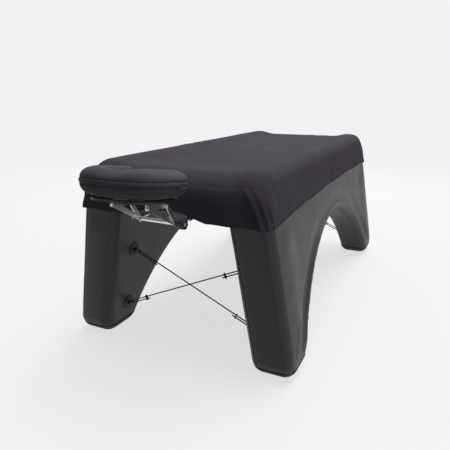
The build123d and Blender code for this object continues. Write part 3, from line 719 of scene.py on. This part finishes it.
def join(name, pieces):
    """One mesh from several, without merging their points."""
    form = bmesh.new()
    for piece in pieces:
        form.from_mesh(piece.data)
    material = pieces[0].data.materials[0]
    for piece in pieces:
        discard(piece)
    mesh = bpy.data.meshes.new(name)
    form.to_mesh(mesh)
    form.free()
    return add_piece(name, mesh, material)


def surface_tree(piece):
    form = bmesh.new()
    form.from_mesh(piece.data)
    tree = BVHTree.FromBMesh(form)
    form.free()
    return tree


def face_outwards(piece, target):
    """Turns each face of an open strip to the side that its target's surface faces."""
    tree = surface_tree(target)
    form = bmesh.new()
    form.from_mesh(piece.data)
    form.normal_update()
    wrong = []
    for face in form.faces:
        found = tree.find_nearest(face.calc_center_median())
        if found[1] is not None and face.normal.dot(found[1]) < 0:
            wrong.append(face)
    bmesh.ops.reverse_faces(form, faces=wrong)
    form.to_mesh(piece.data)
    form.free()


for side, word in ((-1, "left"), (1, "right")):
    skin = chamber_skin(f"{word}_chamber_skin", side)
    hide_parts(f"{word}_side_chamber")
    seam_tapes(f"{word}_seam_tapes", side, skin)


# --- fitted sheet --------------------------------------------------------

HEM_CORNER = 0.561
HEM_RISE = 21 * MM  # along the sides
HEM_CRADLE = 29 * MM  # over the cradle's posts
HEM_NOTCH = 0.160  # half the width of that rise
HEM_BAND = 20 * MM
SHEET_EDGE = 46.5 * MM
SHEET_VOXEL = 9 * MM
CLOTH = 1.2 * MM
PAST_HEM = 0.06  # how far the pattern goes on below the hem, before it is trimmed
CORNER_FOLD = 6.5 * MM
NEXT_FOLD = 2.5 * MM
PLEAT = 4.5 * MM
PLEAT_STEP = 0.034
GATHER = 1.7 * MM  # small ruffles along the hem's elastic
GATHER_STEP = 0.021
BAND = 1.0 * MM  # the hem's turned-up cloth
SIDE_FOLD = 2.6 * MM
TOP_FOLD = 2.0 * MM
SHEET_WAVE = 2.0 * MM
PANEL_SEAM = 1.1 * MM
NEAR_CRADLE = 3 * MM  # the most that the cloth stands off where the cradle's arms pass


def hem_height(x, y):
    """The sheet's lower edge: raised along the sides, and over the cradle's posts."""
    side = HEM_RISE * np.clip(1 - ((y - MIDDLE_Y) / HALF_LENGTH) ** 2, 0, 1)
    notch = HEM_CRADLE * np.clip(1 - (x / HEM_NOTCH) ** 2, 0, 1) * (y < HEAD_Y + 0.1)
    around = x * 9 + y * 7
    wave = 1.6 * MM * np.sin(around * 2.1) + 1.1 * MM * np.sin(around * 5.3 + 1.0)
    return HEM_CORNER + np.maximum(side, notch) + wave


def sheet_pattern():
    """The CAD sheet's outside, continued straight down below its hem and closed there."""
    form = bmesh.new()
    form.from_mesh(NODES["fitted_sheet"].data)
    bmesh.ops.remove_doubles(form, verts=form.verts, dist=0.01 * MM)
    form.normal_update()
    inside = []
    for face in form.faces:
        place = face.calc_center_median()
        y = min(max(place.y, HEAD_Y + 0.3), FOOT_Y - 0.3)
        if face.normal.dot(place - Vector((0, y, 0.3))) <= 0:
            inside.append(face)
    bmesh.ops.delete(form, geom=inside, context="FACES")
    rim = [edge for edge in form.edges if edge.is_boundary]
    grown = bmesh.ops.extrude_edge_only(form, edges=rim)["geom"]
    for item in grown:
        if isinstance(item, bmesh.types.BMVert):
            item.co.z = HEM_CORNER - PAST_HEM
    rim = [edge for edge in form.edges if edge.is_boundary]
    bmesh.ops.edgeloop_fill(form, edges=rim)
    bmesh.ops.recalc_face_normals(form, faces=form.faces)
    mesh = bpy.data.meshes.new("sheet_pattern")
    form.to_mesh(mesh)
    form.free()
    return add_piece("sheet_pattern", mesh, JERSEY)


def drape(places, outward):
    """Folds and wrinkles, as how far the cloth stands off its pattern."""
    x, y, z = places.T
    from_side = HALF_AT_FLOOR - z * math.tan(SPLAY) + SHEET_OFF - np.abs(x)
    from_end = HALF_LENGTH + SHEET_OFF - np.abs(y - MIDDLE_Y)
    around = from_side - from_end
    hem = hem_height(x, y)
    down = np.clip((0.735 - z) / 0.17, 0, 1)
    upright = 1 - smoothstep(0.3, 0.8, outward[:, 2])
    corner = np.sign(x) + 2 * np.sign(y - MIDDLE_Y)

    line = around - (0.062 * (1 - down) ** 1.3 + 0.016)
    main = CORNER_FOLD * bump(line, 0.011, 0.020) + NEXT_FOLD * bump(line, -0.022, 0.016)
    wander = 0.006 * np.sin(z * 38 + corner * 1.7)
    pleats = 0.5 + 0.5 * np.cos((around + wander) * 2 * math.pi / PLEAT_STEP + corner)
    pleats *= np.exp(-((around - 0.01) / 0.10) ** 2) * down**1.6 * PLEAT
    folds = upright * (main * smoothstep(0.05, 0.45, down) + pleats)

    ruffle = around * 2 * math.pi / GATHER_STEP + 4 * grain(places * 9, 5)
    gather = 0.5 + 0.5 * np.sin(ruffle)
    gather *= GATHER * np.exp(-np.clip(z - hem, 0, None) / 0.022) * upright
    band = BAND * (1 - smoothstep(HEM_BAND - 2 * MM, HEM_BAND + 2 * MM, z - hem))

    sweep = np.stack(((x + y) * 7, (x - y) * 2.2, z * 2), 1)
    patchy = 0.4 + 0.6 * grain(places * 4, 8)
    side_folds = SIDE_FOLD * creases(sweep, 51, 2.2) * upright * patchy
    slant = np.stack(((x + 0.55 * y) * 26, (y - 0.55 * x) * 5, z), 1)
    ruck = smoothstep(-0.05, 0.35, grain(places * (3.1, 2.1, 1), 61))
    top_folds = TOP_FOLD * creases(slant, 71, 2.6) * (1 - upright) * ruck
    broad = SHEET_WAVE * (0.5 + 0.5 * grain(places * (3.5, 3.5, 3.5), 81))
    facing_cradle = (y < HEAD_Y + 0.02) * (np.abs(x) < 0.24)
    facing_end = -np.sign(y - MIDDLE_Y) * outward[:, 1]
    seam = PANEL_SEAM * bump(-facing_end, 0.86, 0.045)
    lifted = folds + gather + band + np.clip(side_folds, 0, None) + top_folds + broad + seam
    return np.where(facing_cradle, np.minimum(lifted, NEAR_CRADLE), lifted)


END_RISE = 20 * MM


def stretched_over_end(places, outward):
    """How far the cloth rises between the ridges, where both ends pull it straight across."""
    from_end = np.clip(HALF_LENGTH + SHEET_OFF - np.abs(places[:, 1] - MIDDLE_Y), 0, None)
    between = 1 - smoothstep(0.16, 0.31, np.abs(places[:, 0]))
    upwards = smoothstep(-0.1, 0.7, outward[:, 2])
    return END_RISE * np.exp(-((from_end / 0.17) ** 2)) * between * upwards


def trim_below_hem(piece):
    """Cuts the cloth off cleanly along the hem."""
    mesh = piece.data
    places = positions(mesh)
    hem = hem_height(places[:, 0], places[:, 1])
    places[:, 2] -= hem
    set_positions(mesh, places)
    form = bmesh.new()
    form.from_mesh(mesh)
    parts = list(form.verts) + list(form.edges) + list(form.faces)
    bmesh.ops.bisect_plane(
        form, geom=parts, plane_co=(0, 0, 0), plane_no=(0, 0, 1), clear_inner=True
    )
    for vert in form.verts:
        vert.co.z += float(hem_height(np.array(vert.co.x), np.array(vert.co.y)))
    form.to_mesh(mesh)
    form.free()


def perimeter(lift, step):
    """Points a step apart, all round the sheet and a little above its hem."""
    z = HEM_CORNER + lift
    half_x = HALF_AT_FLOOR - z * math.tan(SPLAY) + SHEET_OFF
    half_y = HALF_LENGTH + SHEET_OFF
    flat_x, flat_y = half_x - SHEET_EDGE, half_y - SHEET_EDGE
    quarter_round = math.pi / 2 * SHEET_EDGE
    legs = (2 * flat_y, quarter_round, 2 * flat_x, quarter_round) * 2
    whole = sum(legs)
    count = int(whole / step)
    corners = ((1, 1), (-1, 1), (-1, -1), (1, -1))
    points = []
    for i in range(count):
        s = whole * i / count
        leg = 0
        while s > legs[leg]:
            s -= legs[leg]
            leg += 1
        quarter = leg // 2
        turn = quarter * math.pi / 2
        along = Vector((-math.sin(turn), math.cos(turn), 0))
        out = Vector((math.cos(turn), math.sin(turn), 0))
        cx, cy = corners[quarter]
        if leg % 2:
            bend = turn + s / SHEET_EDGE
            spot = Vector((cx * flat_x, cy * flat_y, 0))
            spot += SHEET_EDGE * Vector((math.cos(bend), math.sin(bend), 0))
        else:
            start = Vector((cx * flat_x, cy * flat_y, 0)) - along * legs[leg]
            spot = start + out * SHEET_EDGE + along * s
        spot.z = float(hem_height(np.array(spot.x), np.array(spot.y))) + lift
        points.append(spot)
    return points


STITCH_WIDE, STITCH_HIGH = 0.55 * MM, 0.45 * MM  # from the middle


def stitches(name, points, surface, length, material, loop=True, lift=0.25 * MM):
    """A row of thread stitches lying on a surface, one at each point."""
    tree = surface_tree(surface)
    on = [tree.find_nearest(point) for point in points]
    verts, faces = [], []
    last = len(on) - 1
    for i, (spot, out, _, _) in enumerate(on):
        before = on[i - 1][0] if i or loop else spot
        after = on[(i + 1) % len(on)][0] if i < last or loop else spot
        along = (after - before).normalized()
        across = along.cross(out).normalized()
        base = len(verts)
        middle = spot + out * lift
        half = length / 2
        verts += [middle - along * half, middle + along * half]
        wide, high = across * STITCH_WIDE, out * STITCH_HIGH
        for way in (wide, high, -wide, -high):
            verts += [middle + way - along * half * 0.5, middle + way + along * half * 0.5]
        for k in range(4):
            a = base + 2 + 2 * k
            b = base + 2 + 2 * ((k + 1) % 4)
            faces += [(base, b, a), (a, b, b + 1, a + 1), (base + 1, a + 1, b + 1)]
    return from_faces(name, verts, faces, material)


def fitted_sheet():
    piece = sheet_pattern()
    piece.name = "fitted_sheet_cloth"
    form = sheet_pattern()
    remesh(piece, SHEET_VOXEL)
    relax(piece, 3)
    wrap(piece, form)
    discard(form)
    subdivide(piece)
    trim_below_hem(piece)
    mesh = piece.data
    places = positions(mesh)
    outward = normals(mesh)
    lifted = drape(places, outward)
    places[:, 2] += stretched_over_end(places, outward)
    set_positions(mesh, round_tops(places + outward * lifted[:, None]))
    line = perimeter(HEM_BAND - 2 * MM, 6 * MM)
    thread = stitches("hem_stitches", line, piece, 4 * MM, THREAD)
    thicken(piece, CLOTH, -1.0)
    piece.data.shade_smooth()
    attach(piece, "table")
    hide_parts("fitted_sheet")
    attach(thread, "table")


fitted_sheet()


# --- brace cords ---------------------------------------------------------

CORD = 5 * MM
CORD_BEND = 5 * MM
CORD_TAIL = 95 * MM
CORD_STEP = 4 * MM  # each cord of a cross passes this far from their shared plane
CORD_REACH = 23.45 * MM  # from a patch's loop to where the cord turns round its ring
OFF_FACE = 8 * MM  # a loop's middle, off the chamber's face


def loop_middle(side, y, z):
    """Middle of a patch's loop, on a side chamber's inner face."""
    inner = HALF_AT_FLOOR - CHAMBER_WIDE - z * math.tan(SPLAY)
    x = side * (inner - OFF_FACE * math.cos(SPLAY))
    return Vector((x, y, z - OFF_FACE * math.sin(SPLAY)))


def brace_cord(end, y, kind, level):
    """One cord of a cross: through a ring at each end, its tails tied back at the adjusters."""
    high, low = (UPPER_RING, LOWER_RING) if level > 0 else (LOWER_RING, UPPER_RING)
    left = loop_middle(-1, y + level * CORD_STEP, high)
    right = loop_middle(1, y + level * CORD_STEP, low)
    along = (right - left).normalized()
    up = Vector((-along.z, 0, along.x))
    first = left + along * CORD_REACH
    last = right - along * CORD_REACH
    bend = CORD_BEND
    route = [
        first + along * CORD_TAIL - up * bend,
        first - up * bend,
        first - (along + up) * bend,
        first - (along - up) * bend,
        first + up * bend,
        last + up * bend,
        last + (along + up) * bend,
        last + (along - up) * bend,
        last - up * bend,
        last - along * CORD_TAIL - up * bend,
    ]
    curve = bpy.data.curves.new(f"{end}_{kind}_cord", "CURVE")
    curve.dimensions = "3D"
    spline = curve.splines.new("NURBS")
    spline.points.add(len(route) - 1)
    for point, place in zip(spline.points, route):
        point.co = (*place, 1)
    spline.order_u = 3
    spline.use_endpoint_u = True
    curve.bevel_depth = CORD / 2
    curve.bevel_resolution = 4
    curve.resolution_u = 10
    piece = bpy.data.objects.new(f"{end}_{kind}_cord", curve)
    SCENE.collection.objects.link(piece)
    curve.materials.append(BRAID)
    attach(piece, "table")
    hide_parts(f"brace_cord_{end}_{kind}")


for end, y in (("head", HEAD_Y + RING_FROM_END), ("foot", FOOT_Y - RING_FROM_END)):
    for kind, level in (("falling", 1), ("rising", -1)):
        brace_cord(end, y, kind, level)


# --- face cushion --------------------------------------------------------

TILT = math.radians(7)  # the platform's, at rest
JOINTS = {joint["name"]: joint for joint in frame["record"]["behaviour"]["joints"]}
PIVOT = Vector(JOINTS["platform_tilt"]["pos_m"])
BACK = Vector((0, math.cos(TILT), -math.sin(TILT)))
UP = Vector((0, math.sin(TILT), math.cos(TILT)))
CUSHION_LOW = 29.8 * MM
CUSHION_THICK = 98 * MM
CUSHION_MIDDLE = CUSHION_LOW + CUSHION_THICK / 2
CUSHION_VOXEL = 6 * MM
DRAWN_IN = 6.5 * MM  # before it is blown up
BLOWN_CAP = 9 * MM
CLOTH_FRAMES = 20
SADDLE = 8 * MM  # where the forehead rests
SIDE_FALL = 7 * MM
FRONT_FALL = 6 * MM
SEAM_PULL = 2.6 * MM
TENSION = 1.6 * MM  # creases that run in to the seams
CUSHION_WAVE = 1.2 * MM
FLAP_HALF = 8 * MM  # half the height of the flap over the zip
ZIP_LEVEL = -FLAP_HALF - 1.6 * MM
ZIP_START, ZIP_END = -112, 98  # bearings, in degrees
STITCHED_TO = 140  # both ways round from the front, in degrees
WELL_OUTSIDE = 0.5


def in_platform(places):
    """Across, back and up of points, from the platform's front pivots."""
    away = places - np.array(PIVOT)
    return away[:, 0], away @ np.array(BACK), away @ np.array(UP)


def inflate(piece, pressure, cap):
    """Blows a closed cloth form up a little, with no point moving further than the cap."""
    before = positions(piece.data)
    cloth = piece.modifiers.new("cloth", "CLOTH")
    cloth.settings.use_pressure = True
    cloth.settings.uniform_pressure_force = pressure
    cloth.settings.effector_weights.gravity = 0
    cloth.settings.quality = 6
    SCENE.frame_start, SCENE.frame_end = 1, CLOTH_FRAMES
    for number in range(1, CLOTH_FRAMES + 1):
        SCENE.frame_set(number)
    settle(piece)
    SCENE.frame_set(1)
    shift = positions(piece.data) - before
    length = np.linalg.norm(shift, axis=1)
    length = np.where(length > 1e-9, length, 1e-9)
    shift *= (np.minimum(length, cap) / length)[:, None]
    set_positions(piece.data, before + shift)


def cushion_shape(piece):
    """Flat underneath, crowned on top, with a saddle for the forehead and a seam band round it."""
    mesh = piece.data
    places = positions(mesh)
    across, back, up = in_platform(places)
    high = np.clip((up - CUSHION_MIDDLE) / (CUSHION_THICK / 2), 0, 1)
    saddle = SADDLE * bump(across, 0, 0.10) * (1 - smoothstep(-0.02, 0.09, back))
    fall = SIDE_FALL * smoothstep(0.07, 0.160, np.abs(across))
    lip = FRONT_FALL * (1 - smoothstep(-0.135, -0.06, back))
    lower = high**1.5 * (saddle + fall + lip)
    floor = CUSHION_LOW + 0.4 * MM
    new_up = np.maximum(up - lower, floor)
    places += (new_up - up)[:, None] * np.array(UP)
    set_positions(mesh, places)
    relax(piece, 3)
    mesh = piece.data
    places = positions(mesh)
    outward = normals(mesh)
    across, back, up = in_platform(places)
    level = up - CUSHION_MIDDLE
    sides = 1 - np.abs(outward @ np.array(UP))
    grooves = bump(level, FLAP_HALF, 5 * MM) + bump(level, -FLAP_HALF, 5 * MM)
    pulled = -SEAM_PULL * grooves * smoothstep(0.4, 0.9, sides)
    around = np.arctan2(across, -back)
    rays = np.stack((around * 11, level * 18, np.zeros_like(level)), 1)
    tension = -TENSION * creases(rays, 91, 2.4) * np.exp(-np.abs(level) / 0.022)
    broad = CUSHION_WAVE * grain(places * (9, 9, 9), 95)
    free = smoothstep(CUSHION_LOW + 1 * MM, CUSHION_LOW + 12 * MM, up)
    places += outward * (free * (pulled + tension * sides + broad - 1.0 * MM))[:, None]
    set_positions(mesh, places)


def round_cushion(tree, level, start, end, count):
    """Points on the cushion's outer wall at a level, from one bearing to another."""
    points = []
    middle = PIVOT + UP * (CUSHION_MIDDLE + level)
    for i in range(count):
        bearing = math.radians(start + (end - start) * i / (count - 1))
        way = Vector((math.sin(bearing), 0, 0)) - BACK * math.cos(bearing)
        hit = tree.ray_cast(middle + way * WELL_OUTSIDE, -way)
        if hit[0] is not None:
            points.append(hit[0])
    return points


def even(points, step):
    """Points a fixed step apart along a line of points."""
    lengths = [0.0]
    for before, after in zip(points, points[1:]):
        lengths.append(lengths[-1] + (after - before).length)
    found, k = [], 0
    for i in range(int(lengths[-1] / step)):
        target = i * step
        while lengths[k + 1] < target:
            k += 1
        share = (target - lengths[k]) / max(lengths[k + 1] - lengths[k], 1e-9)
        found.append(points[k].lerp(points[k + 1], share))
    return found


def zip_slider(spot, out, along):
    """A zip's slider body and its pull, as one piece on the end of the zip."""
    across = out.cross(along).normalized()
    frame_of = Matrix((along, across, out)).transposed().to_4x4()
    frame_of.translation = spot + out * 2.2 * MM
    form = bmesh.new()
    blocks = (
        ((0, 0, 0), (9 * MM, 6 * MM, 3 * MM)),
        ((-1 * MM, 0, 2.2 * MM), (4 * MM, 2 * MM, 2.4 * MM)),
        ((-9 * MM, 0, 2.6 * MM), (16 * MM, 4.5 * MM, 1.4 * MM)),
    )
    for middle, size in blocks:
        made = bmesh.ops.create_cube(form, size=1)
        scale = Matrix.Diagonal((*size, 1))
        bmesh.ops.transform(form, matrix=Matrix.Translation(middle) @ scale, verts=made["verts"])
    bmesh.ops.bevel(
        form, geom=list(form.edges), offset=0.6 * MM, segments=2, affect="EDGES", profile=0.5
    )
    bmesh.ops.transform(form, matrix=frame_of, verts=form.verts)
    mesh = bpy.data.meshes.new("zip_slider")
    form.to_mesh(mesh)
    form.free()
    return add_piece("zip_slider", mesh, BLACK_STEEL)


def face_cushion():
    piece = outer_shell("face_cushion", "face_cushion_pad")
    paint(piece, CUSHION)
    remesh(piece, CUSHION_VOXEL)
    relax(piece, 3)
    mesh = piece.data
    set_positions(mesh, positions(mesh) - normals(mesh) * DRAWN_IN)
    inflate(piece, 4.0, BLOWN_CAP)
    relax(piece, 4)
    subdivide(piece)
    cushion_shape(piece)
    piece.data.shade_smooth()

    tree = surface_tree(piece)
    extras = []
    across, along_zip = 7, 240
    levels = [FLAP_HALF * (j / 3 - 1) for j in range(across)]
    lines = [round_cushion(tree, level, ZIP_START, ZIP_END, along_zip) for level in levels]
    rows = [[tuple(line[i]) for line in lines] for i in range(along_zip)]
    flap = ribbon("zip_flap", rows, CUSHION)
    wrap(flap, piece, 0.7 * MM)
    face_outwards(flap, piece)
    thicken(flap, 1.1 * MM)
    extras.append(flap)
    teeth_at = even(round_cushion(tree, ZIP_LEVEL, ZIP_START, ZIP_END, along_zip), 2.4 * MM)
    extras.append(stitches("zip_teeth", teeth_at, piece, 2.0 * MM, PLASTIC, False, 0.7 * MM))
    for name, level in (
        ("seam_stitches_upper", FLAP_HALF + 3.5 * MM),
        ("seam_stitches_lower", -FLAP_HALF - 5.5 * MM),
    ):
        run = even(round_cushion(tree, level, -STITCHED_TO, STITCHED_TO, 300), 5 * MM)
        extras.append(stitches(name, run, piece, 3.4 * MM, THREAD, False))
    ends = round_cushion(tree, ZIP_LEVEL, ZIP_END + 1, ZIP_END + 5, 3)
    along = (ends[2] - ends[0]).normalized()
    spot, out, _, _ = tree.find_nearest(ends[1])
    extras.append(zip_slider(spot, out, along))
    for extra in extras:
        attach(extra, "cushion")
    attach(piece, "cushion")
    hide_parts("face_cushion")


face_cushion()


# --- deck ----------------------------------------------------------------

DECK_HALF = 0.2269  # half its width, on the underside
BEAM = 0.0756  # from one beam to the next
BEAM_DEEP = 5 * MM
DECK_VOXEL = 9 * MM
SLEEVE_X = 0.0848  # the cradle's sleeves, from the middle
SLEEVE_REACH = 0.32  # how far in from the head end the deck stays flat for them


def deck_skin():
    """The deck's air chamber, with the lengthwise beams that show on its underside."""
    piece = outer_shell("deck_chamber", "deck_chamber_skin")
    form = outer_shell("deck_chamber", "pattern")
    remesh(piece, DECK_VOXEL)
    relax(piece, 3)
    wrap(piece, form)
    discard(form)
    mesh = piece.data
    places = positions(mesh)
    outward = normals(mesh)
    x, y = places.T[:2]
    under = smoothstep(0.5, 0.95, -outward[:, 2])
    from_end = HALF_LENGTH - np.abs(y - MIDDLE_Y)
    from_side = DECK_HALF - np.abs(x)
    inside = smoothstep(0.03, 0.08, from_end) * smoothstep(0.0, 0.02, from_side)
    beams = np.abs(np.cos(math.pi * x / BEAM)) ** 0.7
    at_sleeve = bump(np.abs(x), SLEEVE_X, 0.05) * (y < HEAD_Y + SLEEVE_REACH)
    lowered = BEAM_DEEP * beams * under * inside * (1 - smoothstep(0.0, 0.3, at_sleeve))
    set_positions(mesh, round_tops(places + outward * lowered[:, None]))
    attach(piece, "table")
    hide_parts("deck_chamber")


deck_skin()
